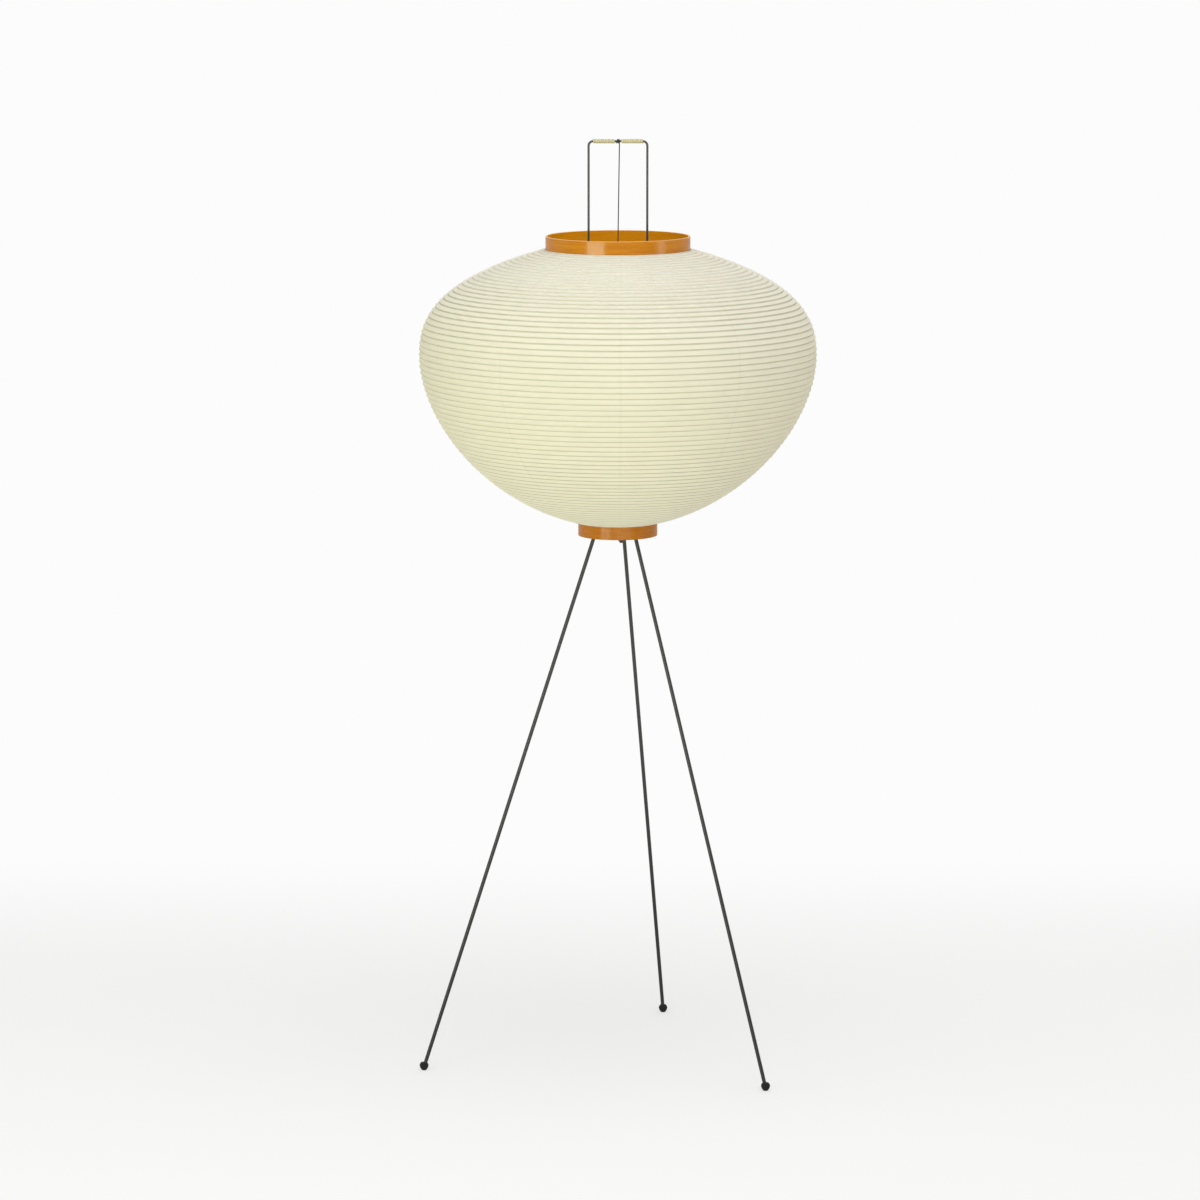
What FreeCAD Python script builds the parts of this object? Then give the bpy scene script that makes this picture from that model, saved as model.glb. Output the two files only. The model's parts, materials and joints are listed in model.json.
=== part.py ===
"""Paper lantern floor lamp: a ribbed paper shade on a wire tripod.

Millimetres. +Z is up, the floor is z = 0 and the lantern's axis is the Z axis. -Y is the front.
"""
import FreeCAD, Part
import math
import os

from FreeCAD import Vector

os.makedirs("parts", exist_ok=True)

UP = Vector(0, 0, 1)
ORIGIN = Vector(0, 0, 0)
coil_wire_sides = 6                 # flats round a wound wire's section
gap_steps = 24                      # points a turn where a coil's least gap is measured
curve_steps = 1500                  # points where the length of the shade's curve is measured

# ---- tripod ----
foot_circle_radius = 269.0          # axis to the middle of each foot
leg_azimuths_deg = {"left": 196.1, "back": 76.1, "right": 316.1}
leg_top_radius = 28.5               # where a leg's line meets the underside of the hub plate
leg_diameter = 5.0
spigot_diameter = 4.0               # turned-down upper end of a leg
spigot_end_gap = 0.8                # between the spigot's end and the hub plate
socket_wall = 2.5
socket_length = 9.0
spigot_clearance = 0.03
foot_height = 10.5
foot_radius = 6.0                   # at its widest
foot_widest_height = 4.8            # from here to the shoulder the ball is at its widest
foot_shoulder_height = 7.8
foot_flat_radius = 3.2
foot_top_radius = 4.2
leg_end_height = 4.0                # floor to the middle of a leg's lower end
foot_bore_clearance = 0.03

# ---- hub ----
hub_plate_rise = 11.2               # plate underside above the lower ring's bottom edge
hub_plate_thickness = 3.0
hub_rim_gap = 2.0                   # plate rim to the bridge's end tabs
frame_socket_height = 12.0
frame_socket_wall = 2.5
frame_bore_clearance = 0.03
frame_screw_diameter = 3.0
frame_screw_length = 3.4
frame_screw_height = 6.0            # above the hub plate
frame_screw_slot_width = 0.6
frame_screw_slot_depth = 0.8
screw_clearance = 0.03

# ---- wire frame with its handle ----
frame_half_width = 38.6             # axis to each upright
frame_wire_diameter = 3.0
frame_corner_radius = 6.0
handle_rise = 124.4                 # top ring's upper edge to the middle of the crossbar

# ---- cane on the handle ----
cane_diameter = 1.4
cane_pitch = 2.95
cane_turns = 9.5
cane_start = 4.6                    # from the middle of the crossbar
cane_bar_gap = 0.05

# ---- lower ring and the bridge that carries it ----
lower_ring_base = 710.8             # its bottom edge above the floor
lower_ring_radius = 52.6
lower_ring_wall = 3.0
lower_ring_height = 19.8
ring_edge_chamfer = 0.5
bridge_width = 16.0
bridge_thickness = 1.5
bridge_tab_drop = 10.0
bridge_ring_gap = 0.1
ring_screw_shank = 2.4
ring_screw_head = 5.2
ring_screw_head_height = 1.4
ring_screw_bite = 2.2               # how far a shank goes into the ring's wall
ring_screw_drop = 5.0               # below the top of the bridge

# ---- shade ----
shade_radius = 263.0                # at the equator
shade_lower_reach = 226.8           # equator to the pole of the lower curve
shade_lower_height_power = 1.758
shade_lower_radius_power = 1.882
shade_upper_reach = 160.3           # equator to the pole of the upper curve
shade_upper_height_power = 2.64
shade_upper_radius_power = 1.317
shade_ribs = 71                     # hoops from ring to ring
ribs_per_fold = 2                   # hoops between one modelled fold of the paper and the next
shade_wall = 0.8
shade_inner_bays = 9
shade_panels = 10                   # gores of paper, glued edge to edge, with a seam at the front
shade_ring_lap = 2.6                # paper glued down over each ring
shade_edge_depth = 1.6              # of the paper's upper edge, round the top ring
lower_collar_gap = 0.05
lower_collar_thickness = 0.9
upper_collar_gap = 0.3
upper_collar_thickness = 0.8

# ---- top ring with its cross wire ----
top_ring_radius = 95.5
top_ring_wall = 2.5
top_ring_height = 20.2
cross_wire_diameter = 2.0
cross_wire_offset = 4.6             # in front of the frame's plane
cross_wire_rise = 8.0               # above the ring's bottom edge
cross_wire_seat = 1.7               # how far each end goes into the ring's wall
cross_wire_clearance = 0.03

# ---- hook between the handle and the cross wire ----
hook_wire_diameter = 1.5
hook_eye_turns = 2
hook_eye_pitch = 1.95
hook_eye_clearance = 0.1
hook_foot_gap = 0.3                 # below the cross wire
hook_foot_reach = 4.0               # past the cross wire
hook_bend_radius = 2.4

# ---- nipple, nut and cord outlet under the hub ----
nipple_diameter = 9.8
nipple_bore = 7.0
nipple_drop = 12.0                  # below the hub plate
nipple_clearance = 0.05
nut_height = 4.0
nut_across_flats = 14.0
gland_radius = 6.8
gland_sleeve_height = 9.0
gland_sleeve_floor = 5.0            # gland material below the nipple's end
outlet_azimuth_deg = 50.0
outlet_tilt_deg = 45.0              # from straight down
outlet_radius = 3.5
outlet_length = 12.0
cord_bore_radius = 2.6

# ---- lamp holder ----
holder_radius = 18.5
holder_wall = 1.8
holder_foot_radius = 11.0
holder_floor = 4.0
holder_shoulder_height = 12.0
holder_cap_height = 19.0
holder_ledge_depth = 3.0            # cap rim down to the ledge for the insert
holder_ledge_width = 1.5
holder_shell_height = 33.0
holder_lip_radius = 14.6
holder_lip_thickness = 1.5
insert_clearance = 0.1
insert_height = 7.0
insert_bore_radius = 1.6
screw_shell_bore = 26.6
screw_shell_wall = 0.6
screw_shell_height = 25.0
screw_shell_hole = 12.0
contact_radius = 4.0
contact_height = 3.4

# ---- bulb ----
bulb_contact_gap = 0.3
bulb_contact_radius = 4.6
bulb_contact_height = 1.0
insulator_height = 4.3
insulator_top_radius = 11.0
bulb_cap_clearance = 0.1
bulb_cap_taper = 2.0
bulb_cap_height = 22.0
bulb_radius = 30.0
bulb_neck_radius = 14.0
bulb_globe_rise = 50.0              # cap to the middle of the globe
bulb_steps = 3                      # in the globe's outline, from its widest to its top
bulb_belt = 12.0                    # height of the globe's widest part


# ---- heights and places that follow ----
def superellipse_height(radius, reach, height_power, radius_power):
    """Height from the equator at which one half of the shade's curve has this radius."""
    return reach * (1 - (radius / shade_radius) ** radius_power) ** (1 / height_power)


leg_radius = leg_diameter / 2
spigot_radius = spigot_diameter / 2
frame_wire_radius = frame_wire_diameter / 2
cross_wire_radius = cross_wire_diameter / 2
hook_wire_radius = hook_wire_diameter / 2
nipple_radius = nipple_diameter / 2
lower_ring_inner_radius = lower_ring_radius - lower_ring_wall
lower_ring_top = lower_ring_base + lower_ring_height
hub_plate_bottom = lower_ring_base + hub_plate_rise
hub_plate_top = hub_plate_bottom + hub_plate_thickness
tab_outer_radius = lower_ring_inner_radius - bridge_ring_gap
tab_inner_radius = tab_outer_radius - bridge_thickness
hub_plate_radius = tab_inner_radius - hub_rim_gap
bridge_top = hub_plate_top + bridge_thickness

shade_bays = round((shade_ribs + 1) / ribs_per_fold)
shade_base = lower_ring_top - shade_ring_lap
shade_base_radius = lower_ring_radius + lower_collar_gap + lower_collar_thickness
equator_height = shade_base + superellipse_height(
    shade_base_radius, shade_lower_reach, shade_lower_height_power, shade_lower_radius_power)
shade_top_radius = top_ring_radius + upper_collar_gap + upper_collar_thickness
shade_top = equator_height + superellipse_height(
    shade_top_radius, shade_upper_reach, shade_upper_height_power, shade_upper_radius_power)
top_ring_base = shade_top - shade_ring_lap
top_ring_inner_radius = top_ring_radius - top_ring_wall
top_ring_top = top_ring_base + top_ring_height
crossbar_height = top_ring_top + handle_rise
cross_wire_height = top_ring_base + cross_wire_rise
holder_rim = bridge_top + holder_cap_height
insert_base = holder_rim - holder_ledge_depth
insert_top = insert_base + insert_height
bulb_base = insert_top + contact_height + bulb_contact_gap

azimuths = {name: math.radians(angle) for name, angle in leg_azimuths_deg.items()}
leg_slope = (foot_circle_radius - leg_top_radius) / (hub_plate_bottom - leg_end_height)
leg_lean = math.atan(leg_slope)


# ---- helpers ----
def polar(radius, azimuth, height):
    return Vector(radius * math.cos(azimuth), radius * math.sin(azimuth), height)


def rod(start, end, radius):
    """Round bar from one point to another."""
    return Part.makeCylinder(radius, (end - start).Length, start, end - start)


def turned(outline, azimuth=0.0, sweep_deg=360.0):
    """Solid turned about Z from an azimuth on, from a closed outline of (radius, height) points."""
    points = [polar(radius, azimuth, height) for radius, height in outline]
    face = Part.Face(Part.makePolygon(points + points[:1]))
    return face.revolve(ORIGIN, UP, sweep_deg)


def group(*solids):
    return Part.makeCompound(list(solids))


def save(name, shape):
    """Write one sub-part, and show its size in the build's output."""
    if not shape.isValid():
        raise ValueError(name + " is not valid")
    shape.exportStep("parts/" + name + ".step")
    print(name, len(shape.Solids), "solid(s),", round(shape.Volume), "mm3")


def biarc(start, start_way, end, end_way):
    """Two arcs that join two points smoothly, leaving along one direction and arriving along the other."""
    chord = end - start
    ways = start_way + end_way
    spread = 2 * (1 - start_way.dot(end_way))
    along = chord.dot(ways)
    reach = (math.sqrt(along ** 2 + spread * chord.dot(chord)) - along) / spread
    first_corner = start + start_way * reach
    last_corner = end - end_way * reach
    middle = (first_corner + last_corner) * 0.5
    return [tangent_arc(start, start_way, middle), tangent_arc(end, end_way * -1, middle)]


def tangent_arc(start, way, end):
    """Arc that leaves a point along a direction and ends at another."""
    chord = end - start
    across = chord - way * chord.dot(way)
    across.normalize()
    radius = chord.dot(chord) / (2 * chord.dot(across))
    centre = start + across * radius
    crown = (start + end) * 0.5 - centre
    crown.normalize()
    return Part.Arc(start, centre + crown * radius, end).toShape()


def coil_point(bar_middle, radius, pitch, turn, direction):
    """Point and direction of a coil about a bar along X, after so many turns from its lowest x."""
    angle = 2 * math.pi * turn * direction
    place = bar_middle + Vector(pitch * turn, -radius * math.cos(angle), radius * math.sin(angle))
    way = Vector(pitch, 2 * math.pi * direction * radius * math.sin(angle),
                 2 * math.pi * direction * radius * math.cos(angle))
    way.normalize()
    return place, way


def coil_gap(bar_middle, radius, pitch, turns, thickness):
    """Least gap from one turn to any other, measured on points along the coil."""
    count = int(turns * gap_steps) + 1
    points = [coil_point(bar_middle, radius, pitch, i / gap_steps, 1)[0] for i in range(count)]
    pairs = [(a - b).Length for i, a in enumerate(points) for b in points[i + gap_steps // 2:]]
    return min(pairs) - thickness


def polygon_section(place, way, radius, sides):
    """Section of a coil's wire, square to its direction."""
    across = way.cross(UP)
    across.normalize()
    other = way.cross(across)
    corners = []
    for i in range(sides):
        angle = 2 * math.pi * i / sides
        corners.append(place + across * (radius * math.cos(angle)) + other * (radius * math.sin(angle)))
    return Part.makePolygon(corners + corners[:1])


def shade_radius_at(height):
    """Radius of the shade's curve at a height above the floor."""
    rise = height - equator_height
    if rise < 0:
        share = 1 - (-rise / shade_lower_reach) ** shade_lower_height_power
        return shade_radius * share ** (1 / shade_lower_radius_power)
    share = 1 - (rise / shade_upper_reach) ** shade_upper_height_power
    return shade_radius * share ** (1 / shade_upper_radius_power)


def shade_stations(count):
    """Points on the shade's curve from ring to ring, equally far apart along the paper."""
    curve = []
    for i in range(curve_steps + 1):
        # Steps bunch towards the rings, where the curve lies nearly level.
        share = (1 - math.cos(math.pi * i / curve_steps)) / 2
        height = shade_base + (shade_top - shade_base) * share
        curve.append((shade_radius_at(height), height))
    lengths = [0.0]
    for (r0, z0), (r1, z1) in zip(curve, curve[1:]):
        lengths.append(lengths[-1] + math.hypot(r1 - r0, z1 - z0))
    stations = []
    k = 0
    for i in range(count + 1):
        target = lengths[-1] * i / count
        while k < curve_steps - 1 and lengths[k + 1] < target:
            k += 1
        part = (target - lengths[k]) / (lengths[k + 1] - lengths[k])
        (r0, z0), (r1, z1) = curve[k], curve[k + 1]
        stations.append((r0 + (r1 - r0) * part, z0 + (z1 - z0) * part))
    return stations, lengths[-1]


# ---- tripod ----
def leg_point(azimuth, height):
    """Point on a leg's centre line."""
    radius = foot_circle_radius - (height - leg_end_height) * leg_slope
    return polar(radius, azimuth, height)


def socket_mouth(azimuth):
    """Middle of a leg socket's lower end, where the leg's shoulder seats."""
    return leg_point(azimuth, hub_plate_bottom - socket_length * math.cos(leg_lean))


def spigot_end(azimuth):
    """Middle of a leg's upper end, just short of the hub plate."""
    corner_rise = spigot_radius * math.sin(leg_lean)
    return leg_point(azimuth, hub_plate_bottom - spigot_end_gap - corner_rise)


def make_leg(azimuth):
    shoulder = socket_mouth(azimuth)
    shaft = rod(leg_point(azimuth, leg_end_height), shoulder, leg_radius)
    return shaft.fuse(rod(shoulder, spigot_end(azimuth), spigot_radius)).removeSplitter()


def make_foot(azimuth):
    """Rubber ball with a small flat under it, bored along the leg."""
    ball = turned([(0, 0), (foot_flat_radius, 0), (foot_radius, foot_widest_height),
                   (foot_radius, foot_shoulder_height), (foot_top_radius, foot_height),
                   (0, foot_height)])
    ball.translate(polar(foot_circle_radius, azimuth, 0))
    bore = rod(leg_point(azimuth, leg_end_height), socket_mouth(azimuth), leg_radius + foot_bore_clearance)
    return ball.cut(bore)


def make_hub():
    """Round plate with three slanted leg sockets below and two frame sockets above, welded as one."""
    plate = Part.makeCylinder(hub_plate_radius, hub_plate_thickness, Vector(0, 0, hub_plate_bottom))
    below_plate = Part.makeBox(
        2 * foot_circle_radius, 2 * foot_circle_radius, hub_plate_bottom,
        Vector(-foot_circle_radius, -foot_circle_radius, 0))
    hub = plate
    for azimuth in azimuths.values():
        top = leg_point(azimuth, hub_plate_top)
        hub = hub.fuse(rod(socket_mouth(azimuth), top, spigot_radius + socket_wall).common(below_plate))
    for side in (-1, 1):
        foot = Vector(side * frame_half_width, 0, hub_plate_top)
        hub = hub.fuse(Part.makeCylinder(frame_wire_radius + frame_socket_wall, frame_socket_height, foot))
    for azimuth in azimuths.values():
        mouth = socket_mouth(azimuth)
        bore = rod(mouth, leg_point(azimuth, hub_plate_top), spigot_radius + spigot_clearance)
        hub = hub.cut(bore.common(below_plate))
    for side in (-1, 1):
        foot = Vector(side * frame_half_width, 0, hub_plate_bottom)
        hub = hub.cut(Part.makeCylinder(frame_wire_radius + frame_bore_clearance,
                                        hub_plate_thickness + frame_socket_height, foot))
        hub = hub.cut(frame_screw_bore(side))
    middle_hole = Part.makeCylinder(nipple_radius + nipple_clearance, hub_plate_thickness,
                                    Vector(0, 0, hub_plate_bottom))
    return hub.cut(middle_hole)


# ---- wire frame ----
def frame_screw_bore(side):
    start = Vector(side * frame_half_width, 0, hub_plate_top + frame_screw_height)
    end = start - Vector(0, 2 * (frame_wire_radius + frame_socket_wall), 0)
    return rod(start, end, frame_screw_diameter / 2 + screw_clearance)


def make_frame_screw(side):
    """Slotted grub screw that presses on the frame's upright from the front."""
    tip = Vector(side * frame_half_width, -frame_wire_radius, hub_plate_top + frame_screw_height)
    head = tip - Vector(0, frame_screw_length, 0)
    screw = rod(tip, head, frame_screw_diameter / 2)
    slot = Part.makeBox(frame_screw_diameter, frame_screw_slot_depth, frame_screw_slot_width,
                        head - Vector(frame_screw_diameter / 2, 0, frame_screw_slot_width / 2))
    return screw.cut(slot)


def make_frame_wire():
    """Upside-down U: two uprights, two bends and the crossbar of the handle."""
    def corner(side):
        centre = Vector(side * (frame_half_width - frame_corner_radius), 0,
                        crossbar_height - frame_corner_radius)
        half = frame_corner_radius * math.sqrt(0.5)
        return [centre + Vector(side * frame_corner_radius, 0, 0),
                centre + Vector(side * half, 0, half),
                centre + Vector(0, 0, frame_corner_radius)]

    left, right = corner(-1), corner(1)
    foot_left = Vector(-frame_half_width, 0, hub_plate_bottom)
    foot_right = Vector(frame_half_width, 0, hub_plate_bottom)
    path = Part.Wire([
        Part.makeLine(foot_left, left[0]),
        Part.Arc(left[0], left[1], left[2]).toShape(),
        Part.makeLine(left[2], right[2]),
        Part.Arc(right[2], right[1], right[0]).toShape(),
        Part.makeLine(right[0], foot_right)])
    section = Part.Wire([Part.makeCircle(frame_wire_radius, foot_left, UP)])
    return path.makePipeShell([section], True, False)


def make_cane_wrap(side):
    """Cane wound round half of the crossbar, from beside the hook's eye out to the corner."""
    radius = frame_wire_radius + cane_bar_gap + cane_diameter / 2
    start_x = cane_start if side > 0 else -cane_start - cane_turns * cane_pitch
    bar_middle = Vector(start_x, 0, crossbar_height)
    quarters = int(round(4 * cane_turns))
    knots = [coil_point(bar_middle, radius, cane_pitch, i / 4, side) for i in range(quarters + 1)]
    first, first_way = knots[0]
    last, last_way = knots[-1]
    edges = [Part.makeLine(first - first_way * cane_diameter, first)]
    for (place, way), (next_place, next_way) in zip(knots, knots[1:]):
        edges += biarc(place, way, next_place, next_way)
    edges.append(Part.makeLine(last, last + last_way * cane_diameter))
    section = polygon_section(first - first_way * cane_diameter, first_way, cane_diameter / 2,
                              coil_wire_sides)
    print("cane, least gap between turns:",
          round(coil_gap(bar_middle, radius, cane_pitch, cane_turns, cane_diameter), 2), "mm")
    return Part.Wire(Part.__sortEdges__(edges)).makePipeShell([section], True, False)


def make_hook():
    """Thin wire: an eye wound on the bare middle of the crossbar, a long stem and a flat foot."""
    radius = frame_wire_radius + hook_eye_clearance + hook_wire_radius
    half_width = hook_eye_turns * hook_eye_pitch / 2
    bar_middle = Vector(-half_width, 0, crossbar_height)
    quarters = 4 * hook_eye_turns
    # The wire climbs in front of the bar, goes over it and comes down in front again.
    knots = [coil_point(bar_middle, radius, hook_eye_pitch, i / 4, -1) for i in range(quarters + 1)]
    foot_z = cross_wire_height - cross_wire_radius - hook_foot_gap - hook_wire_radius
    eye_exit = Vector(half_width, -radius, crossbar_height)
    foot_corner = Vector(0, -radius, foot_z)
    stem_way = foot_corner - eye_exit
    stem_way.normalize()
    knots[-1] = (eye_exit, stem_way)
    first, first_way = knots[0]
    edges = [Part.makeLine(first - first_way * hook_wire_diameter, first)]
    for (place, way), (next_place, next_way) in zip(knots, knots[1:]):
        edges += biarc(place, way, next_place, next_way)
    bend_start = foot_corner - stem_way * hook_bend_radius
    bend_end = foot_corner + Vector(0, -hook_bend_radius, 0)
    tip = Vector(0, -cross_wire_offset - hook_foot_reach, foot_z)
    edges.append(Part.makeLine(eye_exit, bend_start))
    edges.append(tangent_arc(bend_start, stem_way, bend_end))
    edges.append(Part.makeLine(bend_end, tip))
    section = polygon_section(first - first_way * hook_wire_diameter, first_way, hook_wire_radius,
                              coil_wire_sides)
    print("hook eye, least gap between turns:",
          round(coil_gap(bar_middle, radius, hook_eye_pitch, hook_eye_turns, hook_wire_diameter), 2), "mm")
    return Part.Wire(Part.__sortEdges__(edges)).makePipeShell([section], True, False)


# ---- lower ring ----
def make_ring(base, height, outer_radius, wall):
    """Bent-wood hoop with its outer edges eased."""
    inner = outer_radius - wall
    top = base + height
    ease = ring_edge_chamfer
    return turned([(inner, base), (outer_radius - ease, base), (outer_radius, base + ease),
                   (outer_radius, top - ease), (outer_radius - ease, top), (inner, top)])


def ring_screw_height():
    return bridge_top - ring_screw_drop


def ring_screw_hole(side, radius):
    """Straight hole for one ring screw, through the tab and blind into the ring."""
    start = Vector(0, side * (tab_inner_radius - bridge_thickness), ring_screw_height())
    end = Vector(0, side * (lower_ring_inner_radius + ring_screw_bite), ring_screw_height())
    return rod(start, end, radius)


def make_lower_ring():
    ring = make_ring(lower_ring_base, lower_ring_height, lower_ring_radius, lower_ring_wall)
    for side in (-1, 1):
        ring = ring.cut(ring_screw_hole(side, ring_screw_shank / 2 + screw_clearance))
    return ring


def make_bridge():
    """Steel strip across the ring, with its ends bent down against the ring's inside."""
    strip = Part.makeBox(bridge_width, 2 * tab_outer_radius, bridge_thickness,
                         Vector(-bridge_width / 2, -tab_outer_radius, hub_plate_top))
    drop = bridge_tab_drop + bridge_thickness
    bottom = bridge_top - drop
    disc = Part.makeCylinder(tab_outer_radius, drop, Vector(0, 0, bottom))
    hollow = Part.makeCylinder(tab_inner_radius, drop, Vector(0, 0, bottom))
    band = Part.makeBox(bridge_width, 2 * tab_outer_radius, drop,
                        Vector(-bridge_width / 2, -tab_outer_radius, bottom))
    tabs = disc.cut(hollow).common(band)
    bridge = strip.common(disc).fuse(tabs)
    bridge = bridge.cut(Part.makeCylinder(nipple_radius + nipple_clearance, bridge_thickness,
                                          Vector(0, 0, hub_plate_top)))
    for side in (-1, 1):
        bridge = bridge.cut(ring_screw_hole(side, ring_screw_shank / 2 + screw_clearance))
    return bridge.removeSplitter()


def make_ring_screw(side):
    """Small round-head screw from the tab into the ring's wall, seen from inside only."""
    seat = math.sqrt(tab_inner_radius ** 2 - (ring_screw_head / 2) ** 2)
    head_end = Vector(0, side * (seat - ring_screw_head_height), ring_screw_height())
    head_seat = Vector(0, side * seat, ring_screw_height())
    tip = Vector(0, side * (lower_ring_inner_radius + ring_screw_bite), ring_screw_height())
    return rod(head_end, head_seat, ring_screw_head / 2).fuse(
        rod(head_seat, tip, ring_screw_shank / 2)).removeSplitter()


# ---- shade ----
def shade_outline():
    """Section of the paper skin: level bays from ring to ring, with a bamboo rib at each fold."""
    outer, length = shade_stations(shade_bays)
    inner_line, _ = shade_stations(shade_inner_bays)
    inner = []
    for i in range(1, shade_inner_bays):
        (r0, z0), (r1, z1) = inner_line[i - 1], inner_line[i + 1]
        run = math.hypot(r1 - r0, z1 - z0)
        radius, height = inner_line[i]
        inner.append((radius - shade_wall * (z1 - z0) / run, height + shade_wall * (r1 - r0) / run))
    lower_collar = lower_ring_radius + lower_collar_gap
    upper_collar = top_ring_radius + upper_collar_gap
    outline = [(lower_collar, shade_base)] + outer
    outline += [(upper_collar, shade_top), (upper_collar, shade_top - shade_edge_depth)]
    outline += inner[::-1]
    outline += [(lower_collar + lower_collar_thickness, lower_ring_top), (lower_collar, lower_ring_top)]
    print("shade, paper from ring to ring:", round(length, 1), "mm in", shade_bays, "bays")
    return outline


def make_shade_panels():
    """The skin's gores, one after another round the shade from the seam at the front."""
    outline = shade_outline()
    sweep_deg = 360 / shade_panels
    starts = [math.radians(i * sweep_deg - 90) for i in range(shade_panels)]
    return [turned(outline, start, sweep_deg) for start in starts]


# ---- top ring ----
def cross_wire_end(side, reach):
    """End of the cross wire, so far out from the ring's inner wall."""
    wall_x = math.sqrt(top_ring_inner_radius ** 2 - cross_wire_offset ** 2)
    return Vector(side * (wall_x + reach), -cross_wire_offset, cross_wire_height)


def make_top_ring():
    ring = make_ring(top_ring_base, top_ring_height, top_ring_radius, top_ring_wall)
    seat = rod(cross_wire_end(-1, cross_wire_seat), cross_wire_end(1, cross_wire_seat),
               cross_wire_radius + cross_wire_clearance)
    return ring.cut(seat)


def make_cross_wire():
    return rod(cross_wire_end(-1, cross_wire_seat), cross_wire_end(1, cross_wire_seat), cross_wire_radius)


# ---- under the hub ----
def make_nipple():
    """Hollow threaded tube that clamps hub, bridge and lamp holder together."""
    base = Vector(0, 0, hub_plate_bottom - nipple_drop)
    height = bridge_top + holder_floor - base.z
    tube = Part.makeCylinder(nipple_radius, height, base)
    return tube.cut(Part.makeCylinder(nipple_bore / 2, height, base))


def make_nipple_nut():
    across_corners = nut_across_flats / math.cos(math.pi / 6) / 2
    base = hub_plate_bottom - nut_height
    corners = [polar(across_corners, math.radians(60 * i), base) for i in range(6)]
    nut = Part.Face(Part.makePolygon(corners + corners[:1])).extrude(Vector(0, 0, nut_height))
    return nut.cut(Part.makeCylinder(nipple_radius + nipple_clearance, nut_height, Vector(0, 0, base)))


def make_cord_gland():
    """Cap on the nipple's lower end with a slanted outlet for the cord."""
    nipple_end = hub_plate_bottom - nipple_drop
    base = nipple_end - gland_sleeve_floor
    sleeve_top = base + gland_sleeve_height
    sleeve = Part.makeCylinder(gland_radius, gland_sleeve_height, Vector(0, 0, base))
    azimuth = math.radians(outlet_azimuth_deg)
    tilt = math.radians(outlet_tilt_deg)
    way = polar(math.sin(tilt), azimuth, -math.cos(tilt))
    turn = Vector(0, 0, nipple_end)
    outlet = rod(turn, turn + way * outlet_length, outlet_radius)
    gland = sleeve.fuse(outlet)
    gland = gland.cut(rod(turn, turn + way * (outlet_length + outlet_radius), cord_bore_radius))
    gland = gland.cut(Part.makeCylinder(cord_bore_radius, sleeve_top - nipple_end, turn))
    gland = gland.cut(Part.makeSphere(cord_bore_radius, turn))
    return gland.cut(Part.makeCylinder(nipple_radius + nipple_clearance, sleeve_top - nipple_end, turn))


# ---- lamp holder ----
def make_holder_cap():
    """Lower cup of the lamp holder, screwed on the nipple and stepped for the insert."""
    bore = nipple_radius + nipple_clearance
    inside = holder_radius - holder_wall
    ledge = inside - holder_ledge_width
    return turned([
        (bore, bridge_top), (holder_foot_radius, bridge_top),
        (holder_radius, bridge_top + holder_shoulder_height), (holder_radius, holder_rim),
        (inside, holder_rim), (inside, insert_base), (ledge, insert_base),
        (ledge, bridge_top + holder_shoulder_height),
        (holder_foot_radius - holder_wall, bridge_top + holder_floor), (bore, bridge_top + holder_floor)])


def make_holder_shell():
    """Upper sleeve with a lip turned in over the screw shell."""
    inside = holder_radius - holder_wall
    top = holder_rim + holder_shell_height
    return turned([
        (inside, holder_rim), (holder_radius, holder_rim), (holder_radius, top),
        (holder_lip_radius, top), (holder_lip_radius, top - holder_lip_thickness),
        (inside, top - holder_lip_thickness)])


def make_holder_insert():
    radius = holder_radius - holder_wall - insert_clearance
    return turned([(insert_bore_radius, insert_base), (radius, insert_base),
                   (radius, insert_top), (insert_bore_radius, insert_top)])


def make_screw_shell():
    bore = screw_shell_bore / 2
    outside = bore + screw_shell_wall
    hole = screw_shell_hole / 2
    top = insert_top + screw_shell_height
    floor = insert_top + screw_shell_wall
    return turned([(hole, insert_top), (outside, insert_top), (outside, top), (bore, top),
                   (bore, floor), (hole, floor)])


def make_centre_contact():
    contact = Part.makeCylinder(contact_radius, contact_height, Vector(0, 0, insert_top))
    shank = Part.makeCylinder(insert_bore_radius, insert_height, Vector(0, 0, insert_base))
    return contact.fuse(shank).removeSplitter()


# ---- bulb ----
def make_bulb_contact():
    return Part.makeCylinder(bulb_contact_radius, bulb_contact_height, Vector(0, 0, bulb_base))


def make_bulb_insulator():
    base = bulb_base + bulb_contact_height
    return Part.makeCone(bulb_contact_radius, insulator_top_radius, insulator_height, Vector(0, 0, base))


def bulb_cap_base():
    return bulb_base + bulb_contact_height + insulator_height


def make_bulb_cap():
    radius = screw_shell_bore / 2 - bulb_cap_clearance
    base = bulb_cap_base()
    return turned([(0, base), (insulator_top_radius, base), (radius, base + bulb_cap_taper),
                   (radius, base + bulb_cap_height), (0, base + bulb_cap_height)])


def make_bulb_glass():
    """Opal globe on a flared neck."""
    base = bulb_cap_base() + bulb_cap_height
    middle = base + bulb_globe_rise
    outline = [(0, base), (bulb_neck_radius, base), (bulb_radius, middle - bulb_belt)]
    for i in range(bulb_steps):
        angle = math.pi / 2 * i / bulb_steps
        outline.append((bulb_radius * math.cos(angle), middle + bulb_radius * math.sin(angle)))
    outline.append((0, middle + bulb_radius * math.cos(math.pi / 4 / bulb_steps)))
    return turned(outline)


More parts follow.
